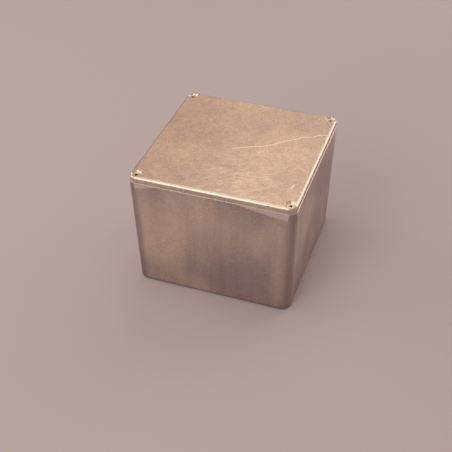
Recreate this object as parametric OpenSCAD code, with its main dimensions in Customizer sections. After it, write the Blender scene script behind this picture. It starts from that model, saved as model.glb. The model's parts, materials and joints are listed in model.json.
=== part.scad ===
// Die cast aluminium enclosure: a drafted box with a lap-jointed lid,
// held by a countersunk screw in each corner. Millimetres, +Z up,
// origin at the middle of the base.

/* [Box] */
// Width of the body at its rim, along X
box_w = 120; // [80:1:240]
// Depth of the body at its rim, along Y
box_d = 120; // [80:1:240]
// Height of the closed enclosure, from the base to the lid's face
box_h = 94; // [60:1:180]
// Radius of the body's vertical corners at the base
corner_base_r = 7.2; // [4:0.1:10]
// Radius of the body's vertical corners at the rim
corner_rim_r = 5.8; // [4.5:0.1:8]
// Lean of the outer walls, which narrow towards the base (degrees)
outer_draft = 1.2; // [0.6:0.1:2.5]
// Radius of the rounded edge around the base
base_edge_r = 2; // [0.5:0.1:2.3]
// Radius of the rim's outer edge
rim_edge_r = 0.4; // [0.2:0.1:0.8]

/* [Casting] */
// Thickness of the walls at the rim
wall_t = 2.8; // [2.2:0.1:4]
// Thickness of the floor
floor_t = 2.6; // [1.8:0.1:5]
// Lean of the inner walls, which narrow towards the floor (degrees)
inner_draft = 1; // [0.5:0.1:2]
// Radius of the cavity's vertical corners at the floor
cavity_base_r = 3.5; // [2.4:0.1:5]
// Radius of the fillet between the floor and the inner walls
floor_edge_r = 2; // [0.5:0.1:2.3]
// Length of the linished flat along the rim at the left end of a wall, seen from outside
flat_left_l = 16; // [8:1:35]
// Length of the linished flat along the rim at the right end of a wall, seen from outside
flat_right_l = 40; // [8:1:45]
// Height of the left flat at the corner
flat_left_h = 5.2; // [2:0.1:10]
// Height of the right flat at the corner
flat_right_h = 6.4; // [2:0.1:10]

/* [Lid] */
// Height of the lid's edge
lid_edge_h = 4.6; // [4:0.1:8]
// Thickness of the lid's plate inside its edge
lid_t = 2.4; // [1.6:0.1:3.2]
// Width of the rim that shows all round the lid
lid_ledge = 0.4; // [0.2:0.1:1]
// Radius of the lid's upper edge
lid_edge_r = 2; // [0.5:0.1:3]
// Radius of the lid's lower outer edge
lid_foot_r = 0.3; // [0.1:0.1:0.8]
// How far the locating rib reaches down inside the body
rib_h = 2; // [1:0.1:5]
// Thickness of the locating rib
rib_t = 1.6; // [1:0.1:3]
// Room between the locating rib and the body
fit_clear = 0.3; // [0.1:0.05:0.6]

/* [Screws] */
// Diameter of the screw's thread
screw_d = 3; // [2.5:0.1:3.6]
// Length of the screw, head included
screw_l = 12; // [9:0.5:25]
// Diameter of the screw's head
head_d = 5.4; // [5:0.1:6.2]
// Angle of the head's cone (degrees)
head_angle = 82; // [80:1:100]
// Height of the plain band around the head
head_band_h = 0.2; // [0.1:0.05:0.5]
// How far the head's face lies below the lid's face
head_sink = 1.2; // [0.1:0.1:1.4]
// Width of the cross recess across its wings
recess_span = 3.2; // [2.4:0.1:3.8]
// Width of each wing of the cross recess
recess_w = 0.8; // [0.5:0.1:1.2]
// Width of the round core of the cross recess at the head's face
recess_core_d = 1.9; // [1.4:0.1:2.2]
// Depth of the cross recess
recess_depth = 1.8; // [1:0.1:2.2]
// Metal between a countersink and the lid's sides
sink_land = 0.7; // [0.3:0.1:3]
// Room around the screw in the lid's hole
hole_clear = 0.2; // [0.1:0.05:0.5]
// Room between the screw and its seat or its tapped hole
seat_clear = 0.05; // [0.02:0.01:0.1]
// Depth of tapped hole left below the screw's tip
tip_room = 3; // [1:0.5:6]
// Angle of the drill's point at the bottom of the tapped hole (degrees)
drill_angle = 118; // [90:1:140]
// Metal around the tapped hole at the top of each corner boss
boss_wall = 2.65; // [1.8:0.05:3.4]
// Lean of the bosses, which thicken towards the floor (degrees)
boss_draft = 0.5; // [0.2:0.1:1]

/* [Hidden] */
$fn = 96;

// Flat steps in each full round of the body's vertical corners
corner_fn = 32;
// Flat steps in each rounded edge of a profile
arc_steps = 8;
// How far a cutting shape reaches past the face that it cuts
over = 1;

// Height of the seat where the lid's edge stands on the body's rim
seat_z = box_h - lid_edge_h;
// Height of the face under the lid's plate
plate_z = box_h - lid_t;

// Corner radii that follow from the fit and from the lean of the inner walls
lid_corner_r = corner_rim_r - lid_ledge;
cavity_rim_r = cavity_base_r + (seat_z - floor_t) * tan(inner_draft);
rib_corner_r = cavity_rim_r - fit_clear;
pocket_corner_r = rib_corner_r - rib_t;

// Centres of the corners, from the middle of the box: outside at the base and at the rim, and inside
base_inset = seat_z * tan(outer_draft) + corner_base_r;
base_centre = [box_w / 2 - base_inset, box_d / 2 - base_inset];
rim_centre = [box_w / 2 - corner_rim_r, box_d / 2 - corner_rim_r];
inner_centre = [box_w / 2 - wall_t - cavity_rim_r, box_d / 2 - wall_t - cavity_rim_r];

// Screw, countersink and boss
screw_r = screw_d / 2;
head_r = head_d / 2;
cone_slope = tan(head_angle / 2);
head_cone_h = (head_r - screw_r) / cone_slope;
countersink_r = head_r + (head_sink + head_band_h) * cone_slope + seat_clear;
lid_hole_r = screw_r + hole_clear;
countersink_h = (countersink_r - lid_hole_r) / cone_slope;
tapped_r = screw_r + seat_clear;
head_z = box_h - head_sink;
tip_z = head_z - screw_l;
tip_chamfer = screw_r / 3;
boss_r = screw_r + boss_wall;

// Screw axes from the outside of the rim
screw_inset = lid_ledge + sink_land + countersink_r;
screw_x = box_w / 2 - screw_inset;
screw_y = box_d / 2 - screw_inset;
// Each screw stopped at another angle when it was driven home
screw_turn = 37;

// Points of an arc from angle a to angle b; a radius of zero leaves a sharp corner
function arc(centre, r, a, b) =
    r == 0 ? [centre]
    : [for (i = [0:arc_steps]) let (t = a + (b - a) * i / arc_steps) centre + r * [cos(t), sin(t)]];

// Rounded lower edge of a leaning wall that has radius r at height z, outwards from its corner centre
function lower_edge(r, lean, z, edge_r) =
    concat([[0, z]], arc([r + edge_r * (tan(lean) - 1 / cos(lean)), z + edge_r], edge_r, -90, -lean));

// Rounded upper edge of a leaning wall that has radius r at height z
function upper_edge(r, lean, z, edge_r) =
    concat(arc([r - edge_r * (tan(lean) + 1 / cos(lean)), z - edge_r], edge_r, -lean, 90), [[0, z]]);

// Half section of a leaning wall: radius r at height z0, leaning out to z1, with both edges rounded
function wall_profile(r, lean, z0, z1, lower_r, upper_r) =
    concat(lower_edge(r, lean, z0, lower_r), upper_edge(r + (z1 - z0) * tan(lean), lean, z1, upper_r));

// Straight run of a profile on both sides of the box, with the profile's points on the axis left out
module straight_run(half, length, profile) {
    last = len(profile) - 2;
    right = [for (i = [1:last]) [half + profile[i].x, profile[i].y]];
    left = [for (i = [last:-1:1]) [-half - profile[i].x, profile[i].y]];
    rotate([90, 0, 0])
        linear_extrude(length, center = true)
            polygon(concat(right, left));
}

// Box with a wall profile carried round its four corner centres, and its children cut out of each stretch
module rounded_block(centre, profile) {
    difference() {
        straight_run(centre.x, 2 * centre.y, profile);
        children();
    }
    difference() {
        rotate(90) straight_run(centre.y, 2 * centre.x, profile);
        children();
    }
    for (corner = [[1, 1, 0], [-1, 1, 90], [-1, -1, 180], [1, -1, 270]])
        difference() {
            translate([corner.x * centre.x, corner.y * centre.y, 0])
                rotate(corner.z)
                    rotate_extrude(angle = 90) polygon(profile);
            children();
        }
}

// Children at the four corners that stand at a centre
module at_corners(centre) {
    for (sx = [-1, 1], sy = [-1, 1])
        translate([sx * centre.x, sy * centre.y, 0]) children();
}

// Children at the four screw axes
module at_screws() {
    at_corners([screw_x, screw_y]) children();
}

// Corner boss from the floor to the seat
module boss() {
    boss_h = seat_z - floor_t + over;
    translate([0, 0, floor_t - over])
        cylinder(h = boss_h, r1 = boss_r + boss_h * tan(boss_draft), r2 = boss_r);
}

// Blind tapped hole with the drill's point at its bottom
module tapped_hole() {
    bottom_z = tip_z - tip_room;
    point_h = tapped_r / tan(drill_angle / 2);
    translate([0, 0, bottom_z]) cylinder(h = seat_z + over - bottom_z, r = tapped_r);
    translate([0, 0, bottom_z - point_h]) cylinder(h = point_h, r1 = 0, r2 = tapped_r);
}

// Upright wedge that trims the right end of the wall at -half, where the rim was linished. Where the
// corner's rounding starts, it is as deep as the leaning wall has drawn in at the flat's height, and
// from there it runs out into the rounding
module linished_flat(half, corner_x, length, height) {
    start_x = corner_x - length;
    end_x = corner_x + corner_rim_r;
    depth = height * tan(outer_draft) * (end_x - start_x) / length;
    translate([0, 0, seat_z - 2 * height])
        linear_extrude(2 * height + over)
            polygon([[start_x, -half], [start_x, -half - over],
                     [end_x, -half - over], [end_x, depth - half]]);
}

// The flats at both ends of the wall at -half
module wall_flats(half, corner_x) {
    linished_flat(half, corner_x, flat_right_l, flat_right_h);
    mirror([1, 0, 0]) linished_flat(half, corner_x, flat_left_l, flat_left_h);
}

// The flats of all four walls
module linished_flats() {
    for (side = [0, 180]) rotate(side) wall_flats(box_d / 2, rim_centre.x);
    for (side = [90, 270]) rotate(side) wall_flats(box_w / 2, rim_centre.y);
}

// Outside of the body, stretched over a disc at each corner of the base and of the rim
module body_block() {
    base = lower_edge(corner_base_r, outer_draft, 0, base_edge_r);
    rim = upper_edge(corner_rim_r, outer_draft, seat_z, rim_edge_r);
    hull() {
        at_corners(base_centre)
            rotate_extrude($fn = corner_fn) polygon(concat(base, [[0, base_edge_r]]));
        at_corners(rim_centre)
            rotate_extrude($fn = corner_fn) polygon(concat([[0, seat_z - rim_edge_r]], rim));
    }
}

// Cast body: drafted box, corner bosses with tapped holes, flat rim for the lid
module enclosure_body() {
    inside = wall_profile(cavity_base_r, inner_draft, floor_t, seat_z + over, floor_edge_r, 0);
    color([0.60, 0.57, 0.55]) difference() {
        body_block();
        difference() {
            rounded_block(inner_centre, inside);
            at_screws() boss();
        }
        at_screws() tapped_hole();
        linished_flats();
    }
}

// Countersunk clearance hole in the lid
module countersunk_hole() {
    translate([0, 0, seat_z - over]) cylinder(h = lid_edge_h + 2 * over, r = lid_hole_r);
    translate([0, 0, box_h - countersink_h])
        cylinder(h = countersink_h + over, r1 = lid_hole_r, r2 = countersink_r + over * cone_slope);
}

// Cast lid: shallow tray with a locating rib that stands inside the body, and a pad at each screw
module lid() {
    edge = wall_profile(lid_corner_r, 0, seat_z, box_h, lid_foot_r, lid_edge_r);
    rib = wall_profile(rib_corner_r, 0, seat_z - rib_h, seat_z + over, 0, 0);
    pocket = wall_profile(pocket_corner_r, 0, seat_z - rib_h - over, plate_z, 0, 0);
    color([0.74, 0.70, 0.66]) difference() {
        union() {
            rounded_block(rim_centre, edge) at_screws() countersunk_hole();
            difference() {
                rounded_block(inner_centre, rib);
                at_screws() translate([0, 0, seat_z - rib_h - over])
                    cylinder(h = rib_h + 3 * over, r = boss_r + fit_clear);
            }
        }
        difference() {
            rounded_block(inner_centre, pocket);
            at_screws() translate([0, 0, seat_z])
                cylinder(h = lid_edge_h, r = boss_r);
        }
    }
}

// Tapered cross recess with a round core, open at the head's face
module cross_recess() {
    foot = recess_span / 5;
    core_foot_r = recess_core_d / 4;
    core_slope = core_foot_r / recess_depth;
    translate([0, 0, -recess_depth])
        cylinder(h = recess_depth + over, r1 = core_foot_r, r2 = recess_core_d / 2 + over * core_slope);
    for (turn = [0, 90])
        rotate(turn) rotate([90, 0, 0])
            linear_extrude(recess_w, center = true)
                polygon([[-foot, -recess_depth], [foot, -recess_depth],
                         [recess_span / 2, 0], [recess_span / 2, over],
                         [-recess_span / 2, over], [-recess_span / 2, 0]]);
}

// Countersunk screw, turned about its axis, with its head's face at height zero
module screw() {
    section = [[0, -screw_l], [screw_r - tip_chamfer, -screw_l], [screw_r, tip_chamfer - screw_l],
               [screw_r, -head_band_h - head_cone_h], [head_r, -head_band_h], [head_r, 0], [0, 0]];
    difference() {
        rotate_extrude() polygon(section);
        cross_recess();
    }
}

// The four lid screws
module lid_screws() {
    color([0.62, 0.62, 0.64])
        for (i = [0:3])
            let (sx = i % 2 == 0 ? -1 : 1, sy = i < 2 ? -1 : 1)
                translate([sx * screw_x, sy * screw_y, head_z])
                    rotate(i * screw_turn) screw();
}

enclosure_body();
lid();
lid_screws();
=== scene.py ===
# %% [markdown]
# A die cast aluminium enclosure
# The object is a small square box for a circuit: a cast body with leaning walls, a cast lid that stands
# on its rim, and a countersunk screw in each corner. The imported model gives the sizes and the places
# of its three nodes. This lesson builds each of them again as a smooth mesh and gives it its finish.

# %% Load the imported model
import json
import math

import bpy
from mathutils import Matrix, Vector

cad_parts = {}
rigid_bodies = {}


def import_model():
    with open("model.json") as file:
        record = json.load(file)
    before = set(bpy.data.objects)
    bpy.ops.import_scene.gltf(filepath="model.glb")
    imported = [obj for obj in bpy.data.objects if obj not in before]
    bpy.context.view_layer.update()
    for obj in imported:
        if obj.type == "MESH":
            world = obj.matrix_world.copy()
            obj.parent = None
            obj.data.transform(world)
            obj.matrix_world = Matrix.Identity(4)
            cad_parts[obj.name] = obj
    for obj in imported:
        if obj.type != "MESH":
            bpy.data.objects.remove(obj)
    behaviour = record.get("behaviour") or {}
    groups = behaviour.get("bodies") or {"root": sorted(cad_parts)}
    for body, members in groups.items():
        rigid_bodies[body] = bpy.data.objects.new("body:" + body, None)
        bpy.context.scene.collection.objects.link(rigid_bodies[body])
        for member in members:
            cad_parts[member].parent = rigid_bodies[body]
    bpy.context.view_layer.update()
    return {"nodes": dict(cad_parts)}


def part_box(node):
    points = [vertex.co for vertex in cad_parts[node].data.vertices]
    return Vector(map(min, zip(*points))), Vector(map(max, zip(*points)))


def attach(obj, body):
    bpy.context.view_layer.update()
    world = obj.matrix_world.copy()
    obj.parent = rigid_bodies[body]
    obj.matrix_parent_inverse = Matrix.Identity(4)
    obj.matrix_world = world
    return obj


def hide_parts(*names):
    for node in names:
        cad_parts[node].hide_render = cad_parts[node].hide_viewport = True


for leftover in list(bpy.data.objects):
    bpy.data.objects.remove(leftover)
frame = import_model()
print("nodes:", sorted(frame["nodes"]))

# %% [markdown]
# Sizes
# Blender works in metres, so a size in millimetres is written as a number times MM. What the packed
# model already says is read from it: the height of the seat, the lid's width and the screws' ends.
# The other sizes are those of the solid model, so the dressed pieces keep its form.

# %% Read the main heights and widths from the frame
MM = 0.001

body_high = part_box("enclosure_body")[1]
lid_low, lid_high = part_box("lid")
screws_low, screws_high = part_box("lid_screws")

SEAT_Z = body_high.z
TOP_Z = lid_high.z
LID_HALF = lid_high.x
RIB_FOOT_Z = lid_low.z
HEAD_Z = screws_high.z
SCREW_TIP_Z = screws_low.z
print(f"seat at {SEAT_Z / MM:.1f} mm, lid's face at {TOP_Z / MM:.1f} mm")

# %% Work out the corners of the body
LID_LEDGE = 0.4 * MM
OUTER_LEAN = math.radians(1.2)
BASE_CORNER_R = 7.2 * MM
RIM_CORNER_R = 5.8 * MM

RIM_HALF = LID_HALF + LID_LEDGE
RIM_CENTRE = RIM_HALF - RIM_CORNER_R
BASE_CENTRE = RIM_HALF - SEAT_Z * math.tan(OUTER_LEAN) - BASE_CORNER_R
print(f"rim {2 * RIM_HALF / MM:.1f} mm wide")

# %% Work out the countersinks
HEAD_R = 2.7 * MM
SCREW_R = 1.5 * MM
HEAD_BAND_H = 0.2 * MM
HEAD_ANGLE = math.radians(82)
SEAT_CLEAR = 0.05 * MM

HEAD_SLOPE = math.tan(HEAD_ANGLE / 2)
SCREW_AXIS = screws_high.x - HEAD_R
SINK_R = HEAD_R + (TOP_Z - HEAD_Z + HEAD_BAND_H) * HEAD_SLOPE + SEAT_CLEAR
print(f"countersinks {2 * SINK_R / MM:.1f} mm wide, {SCREW_AXIS / MM:.2f} mm from the middle")

# %% [markdown]
# Camera
# The camera stands in front of the box, a little to the right, and looks down at it. It could be aimed
# by eye, but a small error would show along every edge, so its place and its two directions were
# worked out from the straight edges of the box in the picture. The picture is square, so the sensor's
# width is also its height.

# %% Place the camera
CAMERA_PLACE = Vector((0.15893, -0.47996, 0.4308))
CAMERA_FORWARD = Vector((-0.2564, 0.7321, -0.6311)).normalized()
CAMERA_RIGHT = Vector((0.945, 0.327, -0.0045)).normalized()
CAMERA_LENS = 67.29
SENSOR_W = 36.0

camera_data = bpy.data.cameras.new("Camera")
camera_data.lens = CAMERA_LENS
camera_data.sensor_width = SENSOR_W
camera = bpy.data.objects.new("Camera", camera_data)
camera_up = CAMERA_RIGHT.cross(CAMERA_FORWARD).normalized()
camera_side = CAMERA_FORWARD.cross(camera_up)
camera_turn = Matrix((camera_side, camera_up, -CAMERA_FORWARD)).transposed()
camera.matrix_world = Matrix.Translation(CAMERA_PLACE) @ camera_turn.to_4x4()
bpy.context.scene.collection.objects.link(camera)
bpy.context.scene.camera = camera
bpy.context.scene.view_settings.view_transform = "Standard"
print(f"camera {CAMERA_PLACE.length:.3f} m from the middle of the base")

# %% [markdown]
# Helpers for node trees
# Every material here is a tree of nodes, and so are the screws. Nodes could be added and linked one by
# one, but then the sums would be lost among the links. With a few short helpers a tree reads as a sum
# does: one adds a node and fills its inputs with numbers or with the outputs of other nodes, others
# calculate, split and join positions, mix colours, or ease a value from nought to one between limits.

# %% Make the helpers that add nodes
def feed(tree, socket, value):
    if isinstance(value, bpy.types.NodeSocket):
        tree.links.new(value, socket)
    else:
        socket.default_value = value


def add_node(tree, kind, inputs=None, **settings):
    node = tree.nodes.new(kind)
    for name, value in settings.items():
        setattr(node, name, value)
    for key, value in (inputs or {}).items():
        feed(tree, node.inputs[key], value)
    return node


print("helpers that add nodes are ready")

# %% Make the helpers for sums
SINGLE_VALUE_RESULTS = ("DOT_PRODUCT", "DISTANCE")


def calc(tree, operation, *values):
    node = add_node(tree, "ShaderNodeMath", dict(enumerate(values)), operation=operation)
    return node.outputs[0]


def vector_calc(tree, operation, *values):
    node = add_node(tree, "ShaderNodeVectorMath", dict(enumerate(values)), operation=operation)
    return node.outputs["Value" if operation in SINGLE_VALUE_RESULTS else "Vector"]


def split(tree, vector):
    return add_node(tree, "ShaderNodeSeparateXYZ", {0: vector}).outputs


def join(tree, x=0.0, y=0.0, z=0.0):
    return add_node(tree, "ShaderNodeCombineXYZ", {0: x, 1: y, 2: z}).outputs[0]


def ease(tree, value, low, high):
    limits = {"Value": value, "From Min": low, "From Max": high}
    return add_node(tree, "ShaderNodeMapRange", limits, interpolation_type="SMOOTHSTEP").outputs[0]


print("helpers for sums are ready")

# %% Make the helpers for mixes
# A Mix node has sockets for every kind of data, and these are the places of the ones used here
MIX_SHARE = 0
MIX_NUMBERS = (2, 3)
MIX_NUMBER_RESULT = 0
MIX_COLOURS = (6, 7)
MIX_COLOUR_RESULT = 2


def choose(tree, switch, when_off, when_on):
    inputs = {MIX_SHARE: switch, **dict(zip(MIX_NUMBERS, (when_off, when_on)))}
    return add_node(tree, "ShaderNodeMix", inputs).outputs[MIX_NUMBER_RESULT]


def mix_colour(tree, share, first, second, blend="MIX"):
    inputs = {MIX_SHARE: share, **dict(zip(MIX_COLOURS, (first, second)))}
    node = add_node(tree, "ShaderNodeMix", inputs, data_type="RGBA", blend_type=blend)
    return node.outputs[MIX_COLOUR_RESULT]


print("helpers for mixes are ready")

# %% Make the helpers for groups
def new_group(name, inputs, outputs):
    tree = bpy.data.node_groups.new(name, "ShaderNodeTree")
    for socket_name, (kind, value) in inputs.items():
        socket = tree.interface.new_socket(socket_name, in_out="INPUT", socket_type="NodeSocket" + kind)
        if value is not None:
            socket.default_value = value
    for socket_name in outputs:
        tree.interface.new_socket(socket_name, in_out="OUTPUT", socket_type="NodeSocketFloat")
    entry = tree.nodes.new("NodeGroupInput")
    leave = tree.nodes.new("NodeGroupOutput")
    return tree, entry.outputs, leave.inputs


def place_group(tree, group, inputs):
    outputs = add_node(tree, "ShaderNodeGroup", inputs, node_tree=group).outputs
    return {socket.name: socket for socket in outputs}


print("helpers for groups are ready")

# %% [markdown]
# Floor and light
# The box stands on a plain pale floor. Metal shows what it mirrors, so the light matters as much as
# the finish: the lid mirrors the room behind the box, the walls mirror the floor, and the rounded edges
# mirror the lamps. Point lamps would leave hard spots, so every lamp is a wide soft panel. A panel is
# given the brightness of its face, and its power follows from its area. The panels and the room are
# warm, as indoor lamps are, so the metal itself needs only a little warmth.

# %% Light the room
LIGHT_TINT = (1.0, 0.785, 0.61)
ROOM_LEVEL = 0.4

world = bpy.data.worlds.new("Studio")
world.use_nodes = True
sky = world.node_tree.nodes["Background"]
sky.inputs["Color"].default_value = (*LIGHT_TINT, 1)
sky.inputs["Strength"].default_value = ROOM_LEVEL
bpy.context.scene.world = world
print(f"room at {ROOM_LEVEL:.0%} of full light")

# %% Hang the soft panels
AIM = Vector((0, 0, TOP_Z / 2))
# Name, direction from the box, distance, width, height and brightness of each panel
PANELS = (
    ("Front panel", (-0.30, -0.80, 0.50), 1.3, 0.6, 1.2, 2.15),
    ("Right panel", (0.58, 0.73, 0.27), 1.3, 0.6, 0.75, 1.8),
    ("Left panel", (-0.90, -0.13, 0.36), 1.3, 1.1, 0.5, 2.1),
    ("Back panel", (0.02, 0.68, 0.74), 1.6, 1.2, 0.9, 1.1),
    ("Top panel", (-0.10, 0.10, 1.00), 1.3, 0.9, 0.9, 1.0),
    ("Side panel", (0.75, -0.27, 0.60), 1.4, 0.5, 0.5, 0.4),
)


def soft_panel(name, direction, distance, width, height, level):
    data = bpy.data.lights.new(name, "AREA")
    data.shape = "RECTANGLE"
    data.size = width
    data.size_y = height
    data.energy = level * math.pi * width * height
    data.color = LIGHT_TINT
    lamp = bpy.data.objects.new(name, data)
    away = Vector(direction).normalized()
    lamp.location = AIM + away * distance
    lamp.rotation_euler = (-away).to_track_quat("-Z", "Y").to_euler()
    bpy.context.scene.collection.objects.link(lamp)
    print(f"{name}: {data.energy:.1f} W")


for panel in PANELS:
    soft_panel(*panel)

# %% Lay the floor
FLOOR_HALF = 8.0
FLOOR_COLOUR = (0.54, 0.54, 0.65, 1)
FLOOR_ROUGHNESS = 0.9
FLOOR_GLOSS = 0.1

floor_mesh = bpy.data.meshes.new("Floor")
floor_corners = [(x, y, 0) for x, y in ((-1, -1), (1, -1), (1, 1), (-1, 1))]
floor_mesh.from_pydata([Vector(corner) * FLOOR_HALF for corner in floor_corners], [], [(0, 1, 2, 3)])
floor = bpy.data.objects.new("Floor", floor_mesh)
bpy.context.scene.collection.objects.link(floor)
floor_paint = bpy.data.materials.new("Pale Floor")
floor_paint.use_nodes = True
floor_shader = floor_paint.node_tree.nodes["Principled BSDF"]
floor_shader.inputs["Base Color"].default_value = FLOOR_COLOUR
floor_shader.inputs["Roughness"].default_value = FLOOR_ROUGHNESS
floor_shader.inputs["Specular IOR Level"].default_value = FLOOR_GLOSS
floor_mesh.materials.append(floor_paint)
print(f"floor {2 * FLOOR_HALF:.0f} m wide")

# %% [markdown]
# Cast skin
# Molten aluminium that fills a steel mould freezes with a faintly cloudy skin: broad clouds where the
# metal flowed, small mottles, upright streaks where the casting was drawn out of the mould, a fine
# grain from tumbling in stone chips, and a few pin holes. A scanned picture would repeat and show its
# seams, so each of these is a noise of its own size. All pieces share the skin, so it is one shader
# group. It reads positions in millimetres, which lets the sizes be given as they would be measured with
# a glass, and a shift puts the clouds where a piece needs them. On the body the shifted clouds also carry
# painted reflection: light and dark patches where the walls would mirror brighter or darker things.

# %% Make the noises of the skin
PIT_EDGE = (0.09, 0.04)
UNPITTED_SHARE = 0.55


def noise(tree, position, size, detail, roughness=0.5):
    inputs = {
        "Vector": position,
        "Scale": calc(tree, "DIVIDE", 1.0, size),
        "Detail": detail,
        "Roughness": roughness,
    }
    return add_node(tree, "ShaderNodeTexNoise", inputs).outputs["Fac"]


def pin_holes(tree, position, spacing):
    cells = {"Vector": position, "Scale": calc(tree, "DIVIDE", 1.0, spacing)}
    cell = add_node(tree, "ShaderNodeTexVoronoi", cells)
    chance = add_node(tree, "ShaderNodeSeparateColor", {"Color": cell.outputs["Color"]}).outputs[0]
    hollow = ease(tree, cell.outputs["Distance"], *PIT_EDGE)
    return calc(tree, "MULTIPLY", hollow, calc(tree, "GREATER_THAN", chance, UNPITTED_SHARE))


print(f"a pin hole in {1 - UNPITTED_SHARE:.0%} of the cells")

# %% Make the cast skin group
SOFT_CONTRAST = (0.3, 0.7)
GRAIN_CONTRAST = (0.32, 0.68)
DRAG_STRETCH = (1.0, 1.0, 0.06)

skin_group, skin_in, skin_out = new_group(
    "Cast Skin",
    {
        "Position": ("Vector", None),
        "Cloud Size": ("Float", 50.0),
        "Cloud Shift": ("Vector", (0.0, 0.0, 0.0)),
        "Mottle Size": ("Float", 6.0),
        "Grain Size": ("Float", 2.0),
        "Drag Width": ("Float", 7.0),
        "Pit Spacing": ("Float", 5.0),
    },
    ("Cloud", "Mottle", "Grain", "Drag", "Pits"),
)


def fill_skin_group(tree, given, result):
    position = given["Position"]
    drifted = vector_calc(tree, "ADD", position, given["Cloud Shift"])
    upright = vector_calc(tree, "MULTIPLY", position, DRAG_STRETCH)
    cloud = noise(tree, drifted, given["Cloud Size"], detail=1.0)
    mottle = noise(tree, position, given["Mottle Size"], detail=4.0, roughness=0.6)
    grain = noise(tree, position, given["Grain Size"], detail=4.0, roughness=0.75)
    drag = noise(tree, upright, given["Drag Width"], detail=3.0)
    feed(tree, result["Cloud"], ease(tree, cloud, *SOFT_CONTRAST))
    feed(tree, result["Mottle"], ease(tree, mottle, *SOFT_CONTRAST))
    feed(tree, result["Grain"], ease(tree, grain, *GRAIN_CONTRAST))
    feed(tree, result["Drag"], ease(tree, drag, *SOFT_CONTRAST))
    feed(tree, result["Pits"], pin_holes(tree, position, given["Pit Spacing"]))


fill_skin_group(skin_group, skin_in, skin_out)
print("cast skin:", len(skin_group.nodes), "nodes")

# %% [markdown]
# Tumble marks and hairlines
# Castings knock against each other in the tumbler and on the shelf. Short fine marks lie in many
# directions, and now and then one long hairline. The short ones could be drawn one by one, but a noise
# that is stretched along one direction and cut off near its top gives hundreds of them. A hairline has a
# place of its own, so a second group measures how far a point lies from a line between two ends.

# %% Make the tumble mark group
RAREST_MARK = 0.72
COVER_REACH = 0.4
MARK_EDGE = 0.1

mark_group, mark_in, mark_out = new_group(
    "Tumble Marks",
    {
        "Position": ("Vector", None),
        "Direction": ("Vector", (0.0, 0.0, 0.0)),
        "Length": ("Float", 9.0),
        "Width": ("Float", 0.5),
        "Cover": ("Float", 0.2),
    },
    ("Marks",),
)


def fill_mark_group(tree, given, result):
    turning = {"Vector": given["Position"], "Rotation": given["Direction"]}
    turned = add_node(tree, "ShaderNodeVectorRotate", turning, rotation_type="EULER_XYZ").outputs[0]
    fine = calc(tree, "DIVIDE", 1.0, given["Width"])
    stretch = join(tree, calc(tree, "DIVIDE", 1.0, given["Length"]), fine, fine)
    drawn_out = vector_calc(tree, "MULTIPLY", turned, stretch)
    streak = noise(tree, drawn_out, 1.0, detail=1.0)
    start = calc(tree, "SUBTRACT", RAREST_MARK, calc(tree, "MULTIPLY", given["Cover"], COVER_REACH))
    feed(tree, result["Marks"], ease(tree, streak, start, calc(tree, "ADD", start, MARK_EDGE)))


fill_mark_group(mark_group, mark_in, mark_out)
print("tumble marks:", len(mark_group.nodes), "nodes")

# %% Make the hairline group
line_group, line_in, line_out = new_group(
    "Hairline",
    {
        "Position": ("Vector", None),
        "Start": ("Vector", (0.0, 0.0, 0.0)),
        "End": ("Vector", (1.0, 0.0, 0.0)),
        "Width": ("Float", 0.4),
    },
    ("Line",),
)


def fill_line_group(tree, given, result):
    run = vector_calc(tree, "SUBTRACT", given["End"], given["Start"])
    away = vector_calc(tree, "SUBTRACT", given["Position"], given["Start"])
    length = vector_calc(tree, "DOT_PRODUCT", run, run)
    along = calc(tree, "DIVIDE", vector_calc(tree, "DOT_PRODUCT", away, run), length)
    along = calc(tree, "MINIMUM", calc(tree, "MAXIMUM", along, 0.0), 1.0)
    nearest = vector_calc(tree, "MULTIPLY", run, join(tree, along, along, along))
    distance = vector_calc(tree, "DISTANCE", away, nearest)
    half_width = calc(tree, "MULTIPLY", given["Width"], 0.5)
    feed(tree, result["Line"], ease(tree, distance, half_width, 0.0))


fill_line_group(line_group, line_in, line_out)
print("hairline:", len(line_group.nodes), "nodes")

# %% [markdown]
# How a finish is put together
# A finish is a recipe: masks that say how much cloud, grain or wear a point has, and an amount of each
# for the colour, the roughness and the relief. The amounts could be scattered through the code, but in
# small tables they can be compared and changed at a glance. Relief is in millimetres.

# %% Make the helpers for finishes
def position_in_mm(tree):
    place = add_node(tree, "ShaderNodeTexCoord").outputs["Object"]
    node = add_node(tree, "ShaderNodeVectorMath", {0: place, "Scale": 1 / MM}, operation="SCALE")
    return node.outputs["Vector"]


def new_metal(name):
    material = bpy.data.materials.new(name)
    material.use_nodes = True
    shader = material.node_tree.nodes["Principled BSDF"]
    shader.inputs["Metallic"].default_value = 1.0
    return material, material.node_tree, shader


def weigh(tree, masks, amounts, total=0.0):
    for name, amount in amounts.items():
        total = calc(tree, "MULTIPLY_ADD", masks[name], amount, total)
    return total


def dress(tree, shader, colour, roughness, relief):
    feed(tree, shader.inputs["Base Color"], colour)
    feed(tree, shader.inputs["Roughness"], roughness)
    bump = add_node(tree, "ShaderNodeBump", {"Strength": 1.0, "Distance": MM, "Height": relief})
    feed(tree, shader.inputs["Normal"], bump.outputs[0])


print("helpers for finishes are ready")

# %% [markdown]
# Finish of the body
# The body is satin grey with a warm cast: soft clouds, partly cast flow and partly painted reflection, a
# fine grain and faint upright streaks. Its corners are darkened with painted shade, a painted contact
# shadow darkens the foot, and the rim's edge is rubbed bright. Below the rim each end of a wall was
# linished on a belt, which left a pale wedge with fine lines along it. These could be painted on a wrapped
# picture, but masks that are worked out from the position stay sharp at any distance.
# The wedge is also cut in the mesh, and the same sizes give its mask here.

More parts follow.
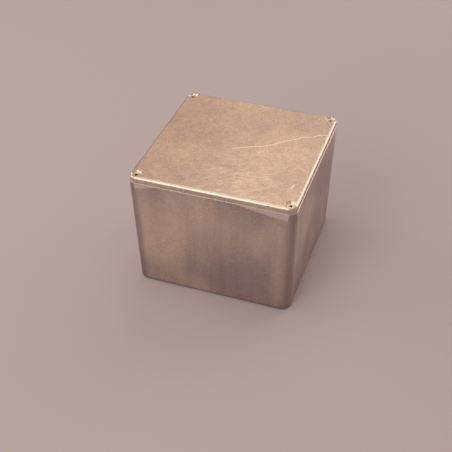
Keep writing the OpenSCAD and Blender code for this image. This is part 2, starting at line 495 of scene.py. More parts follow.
# %% Mask the linished flats and the painted shade of the corners
FLAT_LEFT_L = 16 * MM
FLAT_RIGHT_L = 40 * MM
FLAT_LEFT_H = 5.2 * MM
FLAT_RIGHT_H = 6.4 * MM
FLAT_RUN_OUT = 2 * RIM_CORNER_R * math.tan(OUTER_LEAN)
FLAT_BLUR = 0.5
# fade of the painted corner shade, in millimetres into the corner
CORNER_SHADE_FADE = (-4.0, 5.0)


def along_wall(tree, position):
    x, y, _ = split(tree, position)
    facing_y = calc(tree, "GREATER_THAN", calc(tree, "ABSOLUTE", y), calc(tree, "ABSOLUTE", x))
    on_x_wall = calc(tree, "MULTIPLY", y, calc(tree, "SIGN", x))
    on_y_wall = calc(tree, "MULTIPLY", x, calc(tree, "SIGN", calc(tree, "MULTIPLY", y, -1.0)))
    return choose(tree, facing_y, on_x_wall, on_y_wall)


def linished_mask(tree, along, height):
    below_rim = calc(tree, "SUBTRACT", SEAT_Z / MM, height)
    on_right = calc(tree, "GREATER_THAN", along, 0.0)
    length = choose(tree, on_right, FLAT_LEFT_L / MM, FLAT_RIGHT_L / MM)
    high = choose(tree, on_right, FLAT_LEFT_H / MM, FLAT_RIGHT_H / MM)
    past = calc(tree, "SUBTRACT", calc(tree, "ABSOLUTE", along), RIM_CENTRE / MM)
    wedge = calc(tree, "MULTIPLY", high, calc(tree, "ADD", calc(tree, "DIVIDE", past, length), 1.0))
    rounding = calc(tree, "POWER", calc(tree, "MAXIMUM", past, 0.0), 2.0)
    rounding = calc(tree, "DIVIDE", rounding, FLAT_RUN_OUT / MM)
    left = calc(tree, "SUBTRACT", calc(tree, "SUBTRACT", wedge, below_rim), rounding)
    return ease(tree, left, -FLAT_BLUR, FLAT_BLUR)


# Painted shade: the rounded corners are darkened to stand in for the darker reflection they show
def painted_corner_shade_mask(tree, position):
    x, y, z = split(tree, vector_calc(tree, "ABSOLUTE", position))
    spread = (RIM_CENTRE - BASE_CENTRE) / SEAT_Z
    centre = calc(tree, "MULTIPLY_ADD", z, spread, BASE_CENTRE / MM)
    into_corner = calc(tree, "SUBTRACT", calc(tree, "MINIMUM", x, y), centre)
    return ease(tree, into_corner, *CORNER_SHADE_FADE)


print(f"flats {FLAT_LEFT_L / MM:.0f} and {FLAT_RIGHT_L / MM:.0f} mm long")

# %% Name the body's colours and amounts
BODY_DARK = (0.57, 0.49, 0.455, 1)
BODY_PALE = (0.93, 0.81, 0.76, 1)
# The two cloud colours are partly cast flow and partly painted reflection, light and dark mirrored patches
CLOUD_DIM_AND_PAINTED_REFLECTION = (0.63, 0.60, 0.63, 1)
CLOUD_BRIGHT_AND_PAINTED_REFLECTION = (1.0, 0.955, 0.88, 1)
# The corner colour is painted shade, a darker reflection painted on the rounded corners
BODY_PAINTED_CORNER_SHADE = (0.24, 0.18, 0.185, 1)
FLAT_PALE = (0.90, 0.80, 0.77, 1)
FLAT_LINE = (0.66, 0.57, 0.54, 1)
RIM_PALE = (0.76, 0.66, 0.63, 1)
# The foot colour is a painted contact shadow along the base
FOOT_PAINTED_SHADOW = (0.17, 0.135, 0.14, 1)

# The cloud shift places the body's clouds where patches of painted reflection are wanted
BODY_SKIN = {"Cloud Shift": (223, 28, 121), "Grain Size": 0.9}
BODY_MARKS = {"Direction": (0.3, 1.2, 0.4), "Length": 6.0, "Cover": 0.15}
BELT_LINES = {"Length": 14.0, "Width": 0.4, "Cover": 0.5}
# The foot fade and share below set a painted contact shadow, the corner share a painted corner shade
RIM_FADE = (SEAT_Z / MM - 0.6, SEAT_Z / MM - 0.3)
FOOT_SHADOW_FADE = (3.0, 0.0)
CORNER_SHADE_SHARE = 0.65
FLAT_SHARE = 0.8
FOOT_SHADOW_SHARE = 0.85

BODY_TONE = {"Mottle": 0.12, "Grain": 0.63, "Drag": 0.25}
BODY_ROUGHNESS = 0.40
BODY_ROUGHNESS_SHIFTS = {"Mottle": -0.04, "Grain": 0.04, "Marks": -0.06, "Rim": -0.12}
BODY_RELIEF = {"Mottle": 0.01, "Grain": 0.02, "Pits": -0.04, "Marks": -0.006, "Belt": -0.006}
print(f"{len(BODY_TONE)} masks for the body's tone, {len(BODY_RELIEF)} for its relief")

# %% Make the body's material
def body_finish():
    material, tree, shader = new_metal("Tumbled Cast Body")
    position = position_in_mm(tree)
    height = split(tree, position)[2]
    along = along_wall(tree, position)
    skin = place_group(tree, skin_group, {"Position": position, **BODY_SKIN})
    marks = place_group(tree, mark_group, {"Position": position, **BODY_MARKS})["Marks"]
    belt = place_group(tree, mark_group, {"Position": join(tree, along, height), **BELT_LINES})["Marks"]
    flat = linished_mask(tree, along, height)
    rim = ease(tree, height, *RIM_FADE)
    masks = {**skin, "Marks": marks, "Belt": calc(tree, "MULTIPLY", belt, flat), "Rim": rim}

    colour = mix_colour(tree, weigh(tree, masks, BODY_TONE), BODY_DARK, BODY_PALE)
    # clouds: partly cast flow, partly painted reflection
    cloud = mix_colour(tree, skin["Cloud"], CLOUD_DIM_AND_PAINTED_REFLECTION, CLOUD_BRIGHT_AND_PAINTED_REFLECTION)
    colour = mix_colour(tree, 1.0, colour, cloud, "MULTIPLY")
    # painted shade on the rounded corners
    corner = calc(tree, "MULTIPLY", painted_corner_shade_mask(tree, position), CORNER_SHADE_SHARE)
    colour = mix_colour(tree, corner, colour, BODY_PAINTED_CORNER_SHADE)
    belted = mix_colour(tree, belt, FLAT_PALE, FLAT_LINE)
    colour = mix_colour(tree, calc(tree, "MULTIPLY", flat, FLAT_SHARE), colour, belted)
    colour = mix_colour(tree, rim, colour, RIM_PALE)
    # painted contact shadow along the foot
    foot_shadow = calc(tree, "MULTIPLY", ease(tree, height, *FOOT_SHADOW_FADE), FOOT_SHADOW_SHARE)
    colour = mix_colour(tree, foot_shadow, colour, FOOT_PAINTED_SHADOW)
    roughness = weigh(tree, masks, BODY_ROUGHNESS_SHIFTS, BODY_ROUGHNESS)
    dress(tree, shader, colour, roughness, weigh(tree, masks, BODY_RELIEF))
    return material


body_material = body_finish()
print("body finish:", len(body_material.node_tree.nodes), "nodes")

# %% [markdown]
# Finish of the lid
# The lid is the same metal, rubbed a little brighter, with soft patches, worn edges and clean faces where
# the countersinks were cut. Slanting streaks lie near the front, and one long hairline wanders from the
# middle to the right edge. The line could be a thin strip of mesh, but a scratch has no body of its own.
# Its points are given on the lid, in millimetres. A loop puts one hairline group between each
# pair of neighbours, and the brightest of them wins.

# %% Draw the hairlines and the streaks
LONG_LINE = (
    (-2, -5), (9, 1), (16, 3.5), (24, 9), (29.5, 15), (35.5, 19), (42, 25), (48.5, 27.5), (53, 32), (58, 33)
)
SIDE_LINE = ((16.5, -4.5), (20, -0.5))
SHORT_LINE = ((50.5, -38), (51, -33.5))
LINE_WIDTHS = ((LONG_LINE, 1.3), (SIDE_LINE, 0.91), (SHORT_LINE, 1.3))
STREAK_TURNS = (-0.2, -0.42, -0.65)
STREAKS = {"Length": 12.0, "Cover": 0.3}
STREAK_MIDDLE = (10.0, -42.0, TOP_Z / MM)
STREAK_FADE = (60.0, 0.0)


def drawn_lines(tree, position):
    strongest = 0.0
    for points, width in LINE_WIDTHS:
        for start, end in zip(points, points[1:]):
            ends = {"Start": (*start, TOP_Z / MM), "End": (*end, TOP_Z / MM)}
            line = place_group(tree, line_group, {"Position": position, "Width": width, **ends})["Line"]
            strongest = calc(tree, "MAXIMUM", line, strongest)
    return strongest


def slanting_streaks(tree, position):
    strongest = 0.0
    for turn in STREAK_TURNS:
        given = {"Position": position, "Direction": (0.0, 0.0, turn), **STREAKS}
        strongest = calc(tree, "MAXIMUM", place_group(tree, mark_group, given)["Marks"], strongest)
    zone = ease(tree, vector_calc(tree, "DISTANCE", position, STREAK_MIDDLE), *STREAK_FADE)
    return calc(tree, "MULTIPLY", strongest, zone)


print(f"{len(LINE_WIDTHS)} hairlines, streaks in {len(STREAK_TURNS)} directions")

# %% Mask the worn edges and the countersinks
EDGE_WEAR_W = 2.0
SINK_BLUR = 0.15


def worn_edge(tree, position):
    x, y, z = split(tree, vector_calc(tree, "ABSOLUTE", position))
    out = calc(tree, "MAXIMUM", x, y)
    near_side = ease(tree, out, LID_HALF / MM - EDGE_WEAR_W, LID_HALF / MM - EDGE_WEAR_W / 2)
    near_top = ease(tree, z, TOP_Z / MM - EDGE_WEAR_W, TOP_Z / MM - EDGE_WEAR_W / 2)
    return calc(tree, "MULTIPLY", near_side, near_top)


def countersink_mask(tree, position):
    in_plan = vector_calc(tree, "MULTIPLY", vector_calc(tree, "ABSOLUTE", position), (1.0, 1.0, 0.0))
    axis = (SCREW_AXIS / MM, SCREW_AXIS / MM, 0.0)
    distance = vector_calc(tree, "DISTANCE", in_plan, axis)
    return ease(tree, distance, SINK_R / MM + SINK_BLUR, SINK_R / MM - SINK_BLUR)


print(f"edges worn {EDGE_WEAR_W:.0f} mm wide")

# %% Name the lid's colours and amounts
LID_DARK = (0.49, 0.42, 0.386, 1)
LID_PALE = (0.85, 0.738, 0.678, 1)
LID_SHADE = (0.86, 0.835, 0.87, 1)
LID_LIGHT = (1.0, 0.975, 0.95, 1)
LID_WORN = (0.84, 0.76, 0.72, 1)
LID_CUT = (0.80, 0.73, 0.69, 1)
LINE_BRIGHT = (0.97, 0.91, 0.87, 1)

LID_SKIN = {"Cloud Size": 34.0, "Grain Size": 0.8}
STREAK_SHARE = 0.75

LID_TONE = {"Mottle": 0.2, "Grain": 0.8}
LID_ROUGHNESS = 0.42
LID_ROUGHNESS_SHIFTS = {"Mottle": -0.06, "Grain": 0.06, "Streaks": -0.06, "Worn": -0.08, "Cut": -0.04}
LID_RELIEF = {"Mottle": 0.012, "Grain": 0.012, "Pits": -0.04, "Streaks": -0.004, "Line": -0.02}
print(f"{len(LID_TONE)} masks for the lid's tone, {len(LID_RELIEF)} for its relief")

# %% Make the lid's material
def lid_finish():
    material, tree, shader = new_metal("Tumbled Cast Lid")
    position = position_in_mm(tree)
    skin = place_group(tree, skin_group, {"Position": position, **LID_SKIN})
    streaks = slanting_streaks(tree, position)
    worn = worn_edge(tree, position)
    line = drawn_lines(tree, position)
    cut = countersink_mask(tree, position)
    masks = {**skin, "Streaks": streaks, "Worn": worn, "Line": line, "Cut": cut}

    colour = mix_colour(tree, weigh(tree, masks, LID_TONE), LID_DARK, LID_PALE)
    cloud = mix_colour(tree, skin["Cloud"], LID_SHADE, LID_LIGHT)
    colour = mix_colour(tree, 1.0, colour, cloud, "MULTIPLY")
    colour = mix_colour(tree, worn, colour, LID_WORN)
    colour = mix_colour(tree, calc(tree, "MULTIPLY", streaks, STREAK_SHARE), colour, LINE_BRIGHT)
    colour = mix_colour(tree, line, colour, LINE_BRIGHT)
    colour = mix_colour(tree, cut, colour, LID_CUT)
    roughness = weigh(tree, masks, LID_ROUGHNESS_SHIFTS, LID_ROUGHNESS)
    dress(tree, shader, colour, roughness, weigh(tree, masks, LID_RELIEF))
    return material


lid_material = lid_finish()
print("lid finish:", len(lid_material.node_tree.nodes), "nodes")

# %% [markdown]
# Finish of the screws
# The screws are steel with a thin coat of zinc: brighter and smoother than the castings, and a little
# mottled where the coat dried. A brown painted shade darkens the recess, and it doesn't mirror as metal
# does. A second material in the recess would end in a hard line, so the depth of a point below the head's
# face says how much painted shade it has, and that also takes the metal's mirror away.

# %% Make the screws' material
ZINC_DARK = (0.52, 0.46, 0.42, 1)
ZINC_PALE = (0.82, 0.75, 0.70, 1)
# The recess colour is painted shade, a brown darkness where the recess lies in shade
RECESS_PAINTED_SHADE = (0.22, 0.10, 0.04, 1)

ZINC_SKIN = {"Mottle Size": 0.8, "Grain Size": 0.2}
RECESS_SHADE_FADE = (HEAD_Z / MM - 0.05, HEAD_Z / MM - 0.7)
RECESS_SHADE_GLOSS = 0.1

ZINC_ROUGHNESS = 0.26
ZINC_ROUGHNESS_SHIFTS = {"Mottle": 0.1, "Recess Shade": 0.3}
ZINC_RELIEF = {"Mottle": 0.006, "Grain": 0.002}


def screw_finish():
    material, tree, shader = new_metal("Zinc Plated Steel")
    position = position_in_mm(tree)
    skin = place_group(tree, skin_group, {"Position": position, **ZINC_SKIN})
    # painted shade, growing deeper in the recess
    recess_shade = ease(tree, split(tree, position)[2], *RECESS_SHADE_FADE)
    masks = {**skin, "Recess Shade": recess_shade}

    colour = mix_colour(tree, skin["Mottle"], ZINC_DARK, ZINC_PALE)
    colour = mix_colour(tree, recess_shade, colour, RECESS_PAINTED_SHADE)
    feed(tree, shader.inputs["Metallic"], calc(tree, "SUBTRACT", 1.0, recess_shade))
    shader.inputs["Specular IOR Level"].default_value = RECESS_SHADE_GLOSS
    roughness = weigh(tree, masks, ZINC_ROUGHNESS_SHIFTS, ZINC_ROUGHNESS)
    dress(tree, shader, colour, roughness, weigh(tree, masks, ZINC_RELIEF))
    return material


screw_material = screw_finish()
print("screw finish:", len(screw_material.node_tree.nodes), "nodes")

# %% [markdown]
# Rings and lofts
# Both castings have one outline, a square with rounded corners, that changes with the height. A cube with
# a bevel would give the corners, but neither the lean of the walls nor corners that are rounder at the
# base than at the rim. So each casting is lofted: a list of rings, all with as many points, joined by
# strips of faces and closed at both ends. A corner is drawn once and turned three times by a right angle.

# %% Draw rings
CORNER_STEPS = 16
HOLE_STEPS = 48
QUARTER = math.pi / 2


def around(corner, height):
    ring = []
    for quarter in range(4):
        rotation = Matrix.Rotation(quarter * QUARTER, 3, "Z")
        ring += [rotation @ Vector((x, y, height)) for x, y in corner]
    return ring


def round_corner(centre, radius):
    angles = [QUARTER * step / CORNER_STEPS for step in range(CORNER_STEPS + 1)]
    return [(centre + radius * math.cos(a), centre + radius * math.sin(a)) for a in angles]


def circle_at(x, y, radius, height):
    angles = [4 * QUARTER * step / HOLE_STEPS for step in range(HOLE_STEPS)]
    return [Vector((x + radius * math.cos(a), y + radius * math.sin(a), height)) for a in angles]


print(f"{4 * (CORNER_STEPS + 1)} points in a ring")

# %% Round the edges
EDGE_STEPS = 8


def edge_arc(out, height, radius, first, last):
    angles = [first + (last - first) * step / EDGE_STEPS for step in range(EDGE_STEPS + 1)]
    return [(out + radius * math.cos(a), height + radius * math.sin(a)) for a in angles]


def lower_edge(radius, lean, height, edge_r):
    out = radius + edge_r * (math.tan(lean) - 1 / math.cos(lean))
    return edge_arc(out, height + edge_r, edge_r, -QUARTER, -lean)


def upper_edge(radius, lean, height, edge_r):
    out = radius - edge_r * (math.tan(lean) + 1 / math.cos(lean))
    return edge_arc(out, height - edge_r, edge_r, -lean, QUARTER)


print(f"{EDGE_STEPS + 1} rings round an edge")

# %% Loft solids
def loft(rings, vertices, faces):
    first = len(vertices)
    count = len(rings[0])
    for ring in rings:
        vertices += ring
    faces.append([first + i for i in reversed(range(count))])
    for level in range(len(rings) - 1):
        low = first + level * count
        high = low + count
        for i in range(count):
            j = (i + 1) % count
            faces.append([low + i, low + j, high + j, high + i])
    faces.append([first + (len(rings) - 1) * count + i for i in range(count)])


def solid(name, *lofts):
    vertices = []
    faces = []
    for rings in lofts:
        loft(rings, vertices, faces)
    mesh = bpy.data.meshes.new(name)
    mesh.from_pydata(vertices, [], faces)
    piece = bpy.data.objects.new(name, mesh)
    bpy.context.scene.collection.objects.link(piece)
    return piece


print("lofts are ready")

# %% Combine and smooth solids
CASTING_CREASE = math.radians(30)


def make_plain(piece):
    graph = bpy.context.evaluated_depsgraph_get()
    plain = bpy.data.meshes.new_from_object(
        piece.evaluated_get(graph), preserve_all_data_layers=True, depsgraph=graph
    )
    piece.modifiers.clear()
    piece.data = plain


def combine(piece, other, operation):
    step = piece.modifiers.new(operation, "BOOLEAN")
    step.operation = operation
    step.solver = "EXACT"
    step.object = other
    make_plain(piece)
    bpy.data.objects.remove(other)


def smooth_casting(piece, material):
    piece.data.shade_smooth()
    piece.data.set_sharp_from_angle(angle=CASTING_CREASE)
    weighted = piece.modifiers.new("Even shading", "WEIGHTED_NORMAL")
    weighted.keep_sharp = True
    make_plain(piece)
    piece.data.materials.clear()
    piece.data.materials.append(material)
    print(f"{piece.name}: {len(piece.data.polygons)} faces")


print("cutting and smoothing are ready")

# %% [markdown]
# The cast body
# One loft makes the whole body: out along the base, round its edge, up the leaning wall, over the rim,
# down the inner wall and across the floor. The inner rings swing round the four corner bosses that take
# the screws. Bosses and holes could be modelled one by one, but then their seams would have to be
# closed by hand. What a drill and a belt take away after casting is cut out: the tapped holes and the
# linished wedges.

# %% Shape the body's rings
BASE_EDGE_R = 2 * MM
RIM_EDGE_R = 0.4 * MM
WALL_T = 2.8 * MM
FLOOR_T = 2.6 * MM
INNER_LEAN = math.radians(1)
CAVITY_BASE_R = 3.5 * MM
FLOOR_EDGE_R = 2 * MM
BOSS_R = 4.15 * MM
BOSS_LEAN = math.radians(0.5)

CAVITY_RIM_R = CAVITY_BASE_R + (SEAT_Z - FLOOR_T) * math.tan(INNER_LEAN)
INNER_CENTRE = RIM_HALF - WALL_T - CAVITY_RIM_R


def boss_corner(half, radius):
    bend = math.acos((half - SCREW_AXIS) / radius)
    sweep = 3 * QUARTER - 2 * bend
    angles = [-bend - sweep * step / CORNER_STEPS for step in range(CORNER_STEPS + 1)]
    return [(SCREW_AXIS + radius * math.cos(a), SCREW_AXIS + radius * math.sin(a)) for a in angles]


def body_rings():
    base = lower_edge(BASE_CORNER_R, OUTER_LEAN, 0, BASE_EDGE_R)
    rim = upper_edge(RIM_CORNER_R, OUTER_LEAN, SEAT_Z, RIM_EDGE_R)
    rings = [around(round_corner(BASE_CENTRE, out), height) for out, height in base]
    rings += [around(round_corner(RIM_CENTRE, out), height) for out, height in rim]
    inside = lower_edge(CAVITY_BASE_R, INNER_LEAN, FLOOR_T, FLOOR_EDGE_R) + [(CAVITY_RIM_R, SEAT_Z)]
    for out, height in reversed(inside):
        boss_r = BOSS_R + (SEAT_Z - height) * math.tan(BOSS_LEAN)
        rings.append(around(boss_corner(INNER_CENTRE + out, boss_r), height))
    return rings


cast_body = solid("cast_body", body_rings())
print(f"inside {2 * (INNER_CENTRE + CAVITY_RIM_R) / MM:.1f} mm wide at the rim")

# %% Drill the body
TAPPED_R = 1.55 * MM
TIP_ROOM = 3 * MM
DRILL_ANGLE = math.radians(118)
DRILL_TIP_R = 0.05 * MM
OVER = 1 * MM
CORNER_SIGNS = [(x, y) for x in (-1, 1) for y in (-1, 1)]


def hole(sign_x, sign_y, levels):
    x = sign_x * SCREW_AXIS
    y = sign_y * SCREW_AXIS
    return [circle_at(x, y, radius, height) for radius, height in levels]


def holes(name, levels):
    return solid(name, *[hole(sign_x, sign_y, levels) for sign_x, sign_y in CORNER_SIGNS])


tap_foot_z = SCREW_TIP_Z - TIP_ROOM
tap_point_z = tap_foot_z - TAPPED_R / math.tan(DRILL_ANGLE / 2)
tap_levels = ((DRILL_TIP_R, tap_point_z), (TAPPED_R, tap_foot_z), (TAPPED_R, SEAT_Z + OVER))
combine(cast_body, holes("tapping", tap_levels), "DIFFERENCE")
print(f"holes {(SEAT_Z - tap_foot_z) / MM:.1f} mm deep")

# %% Linish the body
def linished_wedge(quarter, side):
    length, height = (FLAT_RIGHT_L, FLAT_RIGHT_H) if side > 0 else (FLAT_LEFT_L, FLAT_LEFT_H)
    start = RIM_CENTRE - length
    depth = height * math.tan(OUTER_LEAN) * (RIM_HALF - start) / length
    beyond = -RIM_HALF - OVER
    plan = [(start, -RIM_HALF), (start, beyond), (RIM_HALF, beyond), (RIM_HALF, depth - RIM_HALF)]
    if side < 0:
        plan = [(-x, y) for x, y in reversed(plan)]
    rotation = Matrix.Rotation(quarter * QUARTER, 3, "Z")
    levels = (SEAT_Z - 2 * height, SEAT_Z + OVER)
    return [[rotation @ Vector((x, y, z)) for x, y in plan] for z in levels]


for facing_walls in ((0, 2), (1, 3)):
    wedges = [linished_wedge(wall, side) for wall in facing_walls for side in (-1, 1)]
    combine(cast_body, solid("linishing", *wedges), "DIFFERENCE")
smooth_casting(cast_body, body_material)

# %% [markdown]
# The cast lid
# The lid is a shallow tray turned over: a plate with a rounded edge that stands on the body's rim, and a
# thin rib inside it that finds the body's inner wall. The rib stops short of the bosses. One loft could
# make the tray, but not a rib with gaps, so the tray, the rib and the pocket are three lofts, joined and
# cut, and the countersunk holes are cut last.

# %% Build the lid
LID_EDGE_R = 2 * MM
LID_FOOT_R = 0.3 * MM
LID_T = 2.4 * MM
RIB_T = 1.6 * MM
FIT_CLEAR = 0.3 * MM
HOLE_CLEAR = 0.2 * MM

LID_CORNER_R = RIM_CORNER_R - LID_LEDGE
RIB_CORNER_R = CAVITY_RIM_R - FIT_CLEAR
POCKET_HALF = INNER_CENTRE + RIB_CORNER_R - RIB_T
ROOM_R = BOSS_R + FIT_CLEAR
HOLE_R = SCREW_R + HOLE_CLEAR
SINK_H = (SINK_R - HOLE_R) / HEAD_SLOPE

lid_section = lower_edge(LID_CORNER_R, 0, SEAT_Z, LID_FOOT_R)
lid_section += upper_edge(LID_CORNER_R, 0, TOP_Z, LID_EDGE_R)
cast_lid = solid("cast_lid", [around(round_corner(RIM_CENTRE, out), z) for out, z in lid_section])
rib_corner = round_corner(INNER_CENTRE, RIB_CORNER_R)
rib = solid("rib", [around(rib_corner, z) for z in (RIB_FOOT_Z, SEAT_Z + OVER)])
room_levels = ((ROOM_R, RIB_FOOT_Z - OVER), (ROOM_R, SEAT_Z + 2 * OVER))
combine(rib, holes("boss rooms", room_levels), "DIFFERENCE")
combine(cast_lid, rib, "UNION")
pocket_corner = boss_corner(POCKET_HALF, BOSS_R)
pocket = solid("pocket", [around(pocket_corner, z) for z in (RIB_FOOT_Z - OVER, TOP_Z - LID_T)])
combine(cast_lid, pocket, "DIFFERENCE")
sink_mouth = (SINK_R + OVER * HEAD_SLOPE, TOP_Z + OVER)
sink_levels = ((HOLE_R, SEAT_Z - OVER), (HOLE_R, TOP_Z - SINK_H), sink_mouth)
combine(cast_lid, holes("countersinks", sink_levels), "DIFFERENCE")
smooth_casting(cast_lid, lid_material)

# %% [markdown]
# The screws
# Four screws are alike, so one tree of Geometry Nodes makes a screw and sets a copy in each corner, where
# a loop in Python would build the same mesh four times. The head is a short cylinder whose rings are
# drawn in to a cone. The thread is a flat grid rolled up into a tube whose radius rises and falls along
# a helix. Two tapered bars and a cone cut the cross recess. Each copy is turned by another angle, because
# no two screws stop alike.

# %% Name the screw's sizes
SCREW_SIZES = {
    "Axis": SCREW_AXIS,
    "Head Height": HEAD_Z,
    "Head Radius": HEAD_R,
    "Screw Radius": SCREW_R,
    "Head Band": HEAD_BAND_H,
    "Head Cone": (HEAD_R - SCREW_R) / HEAD_SLOPE,
    "Edge Break": 0.08 * MM,
    "Length": HEAD_Z - SCREW_TIP_Z,
    "Pitch": 0.5 * MM,
    "Thread Depth": 0.3 * MM,
    "Tip Chamfer": SCREW_R / 3,
    "Recess Span": 3.2 * MM,
    "Recess Width": 0.8 * MM,
    "Recess Core": 1.9 * MM,
    "Recess Depth": 1.8 * MM,
    "Turn": math.radians(37),
}
print(f"screws {SCREW_SIZES['Length'] / MM:.1f} mm long")

# %% Make the helpers for shapes
def minus(tree, value):
    return calc(tree, "MULTIPLY", value, -1.0)


def half_of(tree, value):
    return calc(tree, "DIVIDE", value, 2.0)


def point_places(tree):
    return split(tree, add_node(tree, "GeometryNodeInputPosition").outputs[0])


def reshape(tree, geometry, x, y, z):
    moved = {"Geometry": geometry, "Position": join(tree, x, y, z)}
    return add_node(tree, "GeometryNodeSetPosition", moved).outputs[0]


def lift(tree, geometry, height):
    moved = {"Geometry": geometry, "Translation": join(tree, z=height)}
    return add_node(tree, "GeometryNodeTransform", moved).outputs[0]


print("helpers for shapes are ready")

# %% Draw in the head
HEAD_STEPS = 3


def pick(tree, index, values):
    node = add_node(tree, "GeometryNodeIndexSwitch", data_type="FLOAT")
    while len(node.index_switch_items) < len(values):
        node.index_switch_items.new()
    feed(tree, node.inputs[0], index)
    for number, value in enumerate(values):
        feed(tree, node.inputs[number + 1], value)
    return node.outputs[0]


def screw_head(tree, size):
    measures = {"Vertices": HOLE_STEPS, "Side Segments": HEAD_STEPS, "Radius": 1.0, "Depth": HEAD_STEPS}
    blank = add_node(tree, "GeometryNodeMeshCylinder", measures).outputs["Mesh"]
    x, y, z = point_places(tree)
    ring = calc(tree, "ROUND", calc(tree, "SUBTRACT", HEAD_STEPS / 2, z))
    radii = (
        calc(tree, "SUBTRACT", size["Head Radius"], size["Edge Break"]),
        size["Head Radius"],
        size["Head Radius"],
        calc(tree, "SUBTRACT", size["Screw Radius"], size["Edge Break"]),
    )
    heights = (
        0.0,
        minus(tree, size["Edge Break"]),
        minus(tree, size["Head Band"]),
        minus(tree, calc(tree, "ADD", size["Head Band"], size["Head Cone"])),
    )
    radius = pick(tree, ring, radii)
    wide = calc(tree, "MULTIPLY", x, radius)
    deep = calc(tree, "MULTIPLY", y, radius)
    return reshape(tree, blank, wide, deep, pick(tree, ring, heights))


print(f"head drawn in over {HEAD_STEPS + 1} rings")

# %% Roll up the thread
TURN_STEPS = 36
THREAD_ROWS = 170
THREAD_FLANK = (0.1, 0.9)
MERGE_GAP = 0.001 * MM
ROW_SHARE = 1 / (THREAD_ROWS - 1)


def thread_radius(tree, size, height, share):
    turns = calc(tree, "SUBTRACT", calc(tree, "DIVIDE", height, size["Pitch"]), share)
    ridge = calc(tree, "MULTIPLY_ADD", calc(tree, "FRACT", turns), 2.0, -1.0)
    rise = ease(tree, calc(tree, "ABSOLUTE", ridge), *THREAD_FLANK)
    valley = calc(tree, "SUBTRACT", size["Screw Radius"], size["Thread Depth"])
    return calc(tree, "MULTIPLY_ADD", rise, size["Thread Depth"], valley)


def screw_thread(tree, size):
    measures = {"Size X": 1.0, "Size Y": 1.0, "Vertices X": TURN_STEPS + 1, "Vertices Y": THREAD_ROWS}
    sheet = add_node(tree, "GeometryNodeMeshGrid", measures).outputs["Mesh"]
    x, y, _ = point_places(tree)
    share = calc(tree, "ADD", x, 0.5)
    level = calc(tree, "ADD", y, 0.5)
    limits = {"Value": level, "From Min": ROW_SHARE, "From Max": 1 - ROW_SHARE}
    level_in = add_node(tree, "ShaderNodeMapRange", limits).outputs[0]
    top = minus(tree, calc(tree, "ADD", size["Head Band"], size["Edge Break"]))
    tip = minus(tree, size["Length"])
    height = calc(tree, "MULTIPLY_ADD", level_in, calc(tree, "SUBTRACT", top, tip), tip)
    blunt = calc(tree, "SUBTRACT", size["Screw Radius"], size["Tip Chamfer"])
    taper = calc(tree, "ADD", blunt, calc(tree, "SUBTRACT", height, tip))
    radius = calc(tree, "MINIMUM", thread_radius(tree, size, height, share), taper)
    inner_row = calc(tree, "COMPARE", level, 0.5, 0.5 - ROW_SHARE / 2)
    radius = calc(tree, "MULTIPLY", radius, inner_row)
    angle = calc(tree, "MULTIPLY", share, 4 * QUARTER)
    wide = calc(tree, "MULTIPLY", radius, calc(tree, "COSINE", angle))
    deep = calc(tree, "MULTIPLY", radius, calc(tree, "SINE", angle))
    rolled = {"Geometry": reshape(tree, sheet, wide, deep, height), "Distance": MERGE_GAP}
    return add_node(tree, "GeometryNodeMergeByDistance", rolled).outputs[0]


print(f"thread rolled from {TURN_STEPS} by {THREAD_ROWS - 1} faces")

# %% Shape the recess
BAR_NARROWING = 0.6
CORE_NARROWING = 0.5


def recess_bar(tree, size):
    room = calc(tree, "ADD", size["Recess Depth"], OVER)
    block = {"Size": join(tree, 1.0, size["Recess Width"], room)}
    bar = add_node(tree, "GeometryNodeMeshCube", block).outputs["Mesh"]
    x, y, z = point_places(tree)
    height = calc(tree, "ADD", z, calc(tree, "SUBTRACT", OVER, half_of(tree, room)))
    narrowing = calc(tree, "MULTIPLY", size["Recess Span"], BAR_NARROWING)
    flare = calc(tree, "DIVIDE", narrowing, size["Recess Depth"])
    width = calc(tree, "MULTIPLY_ADD", height, flare, size["Recess Span"])
    return reshape(tree, bar, calc(tree, "MULTIPLY", x, width), y, height)


def recess_core(tree, size):
    face_r = half_of(tree, size["Recess Core"])
    foot_r = calc(tree, "MULTIPLY", face_r, CORE_NARROWING)
    flare = calc(tree, "DIVIDE", calc(tree, "SUBTRACT", face_r, foot_r), size["Recess Depth"])
    measures = {
        "Vertices": HOLE_STEPS,
        "Radius Top": calc(tree, "MULTIPLY_ADD", flare, OVER, face_r),
        "Radius Bottom": foot_r,
        "Depth": calc(tree, "ADD", size["Recess Depth"], OVER),
    }
    core = add_node(tree, "GeometryNodeMeshCone", measures).outputs["Mesh"]
    return lift(tree, core, minus(tree, size["Recess Depth"]))


print(f"recess {SCREW_SIZES['Recess Span'] / MM:.1f} mm across")

# %% Set the copies in their corners
def screw_corners(tree, size):
    span = calc(tree, "MULTIPLY", size["Axis"], 2.0)
    measures = {"Size X": span, "Size Y": span, "Vertices X": 2, "Vertices Y": 2}
    corners = add_node(tree, "GeometryNodeMeshGrid", measures).outputs["Mesh"]
    return lift(tree, corners, size["Head Height"])


def screw_angles(tree, size):
    x, y, _ = point_places(tree)
    right = calc(tree, "GREATER_THAN", x, 0.0)
    back = calc(tree, "GREATER_THAN", y, 0.0)
    number = calc(tree, "MULTIPLY_ADD", back, 2.0, right)
    euler = join(tree, z=calc(tree, "MULTIPLY", number, size["Turn"]))
    return add_node(tree, "FunctionNodeEulerToRotation", {0: euler}).outputs[0]


print(f"{math.degrees(SCREW_SIZES['Turn']):.0f} degrees from one screw to the next")

# %% Join the screw tree
def mesh_boolean(tree, operation, first, others):
    node = add_node(tree, "GeometryNodeMeshBoolean", operation=operation, solver="EXACT")
    if first is not None:
        feed(tree, node.inputs[0], first)
    for other in others:
        feed(tree, node.inputs[1], other)
    return node.outputs["Mesh"]


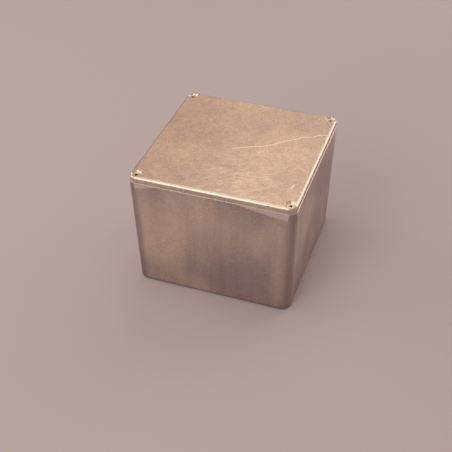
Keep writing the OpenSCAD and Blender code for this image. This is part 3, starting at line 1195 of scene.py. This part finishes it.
def screw_tree():
    tree = bpy.data.node_groups.new("Lid Screws", "GeometryNodeTree")
    tree.interface.new_socket("Geometry", in_out="INPUT", socket_type="NodeSocketGeometry")
    for name in SCREW_SIZES:
        tree.interface.new_socket(name, in_out="INPUT", socket_type="NodeSocketFloat")
    tree.interface.new_socket("Finish", in_out="INPUT", socket_type="NodeSocketMaterial")
    tree.interface.new_socket("Geometry", in_out="OUTPUT", socket_type="NodeSocketGeometry")
    size = tree.nodes.new("NodeGroupInput").outputs
    blank = mesh_boolean(tree, "UNION", None, (screw_head(tree, size), screw_thread(tree, size)))
    bar = recess_bar(tree, size)
    turned = {"Geometry": bar, "Rotation": (0, 0, QUARTER)}
    crossed = add_node(tree, "GeometryNodeTransform", turned).outputs[0]
    screw = mesh_boolean(tree, "DIFFERENCE", blank, (bar, crossed, recess_core(tree, size)))
    placed = {"Points": screw_corners(tree, size), "Instance": screw, "Rotation": screw_angles(tree, size)}
    copies = add_node(tree, "GeometryNodeInstanceOnPoints", placed).outputs[0]
    real = add_node(tree, "GeometryNodeRealizeInstances", {"Geometry": copies}).outputs[0]
    plated = {"Geometry": real, "Material": size["Finish"]}
    dressed = add_node(tree, "GeometryNodeSetMaterial", plated).outputs[0]
    feed(tree, tree.nodes.new("NodeGroupOutput").inputs[0], dressed)
    print("screw tree:", len(tree.nodes), "nodes")
    return tree


lid_screw_tree = screw_tree()

# %% Turn the tree into plain screws
SCREW_CREASE = math.radians(35)


def set_screws(tree):
    piece = bpy.data.objects.new("plated_screws", bpy.data.meshes.new("plated_screws"))
    bpy.context.scene.collection.objects.link(piece)
    making = piece.modifiers.new("Screws", "NODES")
    making.node_group = tree
    values = {**SCREW_SIZES, "Finish": screw_material}
    for item in tree.interface.items_tree:
        if item.in_out == "INPUT" and item.name in values:
            making[item.identifier] = values[item.name]
    make_plain(piece)
    piece.data.shade_smooth()
    piece.data.set_sharp_from_angle(angle=SCREW_CREASE)
    print(f"{piece.name}: {len(piece.data.polygons)} faces")
    return piece


plated_screws = set_screws(lid_screw_tree)

# %% [markdown]
# Hand the pieces to the frame
# Each dressed piece stands for its node and rides on the one body.

# %% Finish
PIECES = (
    (cast_body, "enclosure_body", "cast_body"),
    (cast_lid, "lid", "cast_lid"),
    (plated_screws, "lid_screws", "plated_screw"),
)
for piece, node_name, slot_name in PIECES:
    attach(piece, "root")
    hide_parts(node_name)
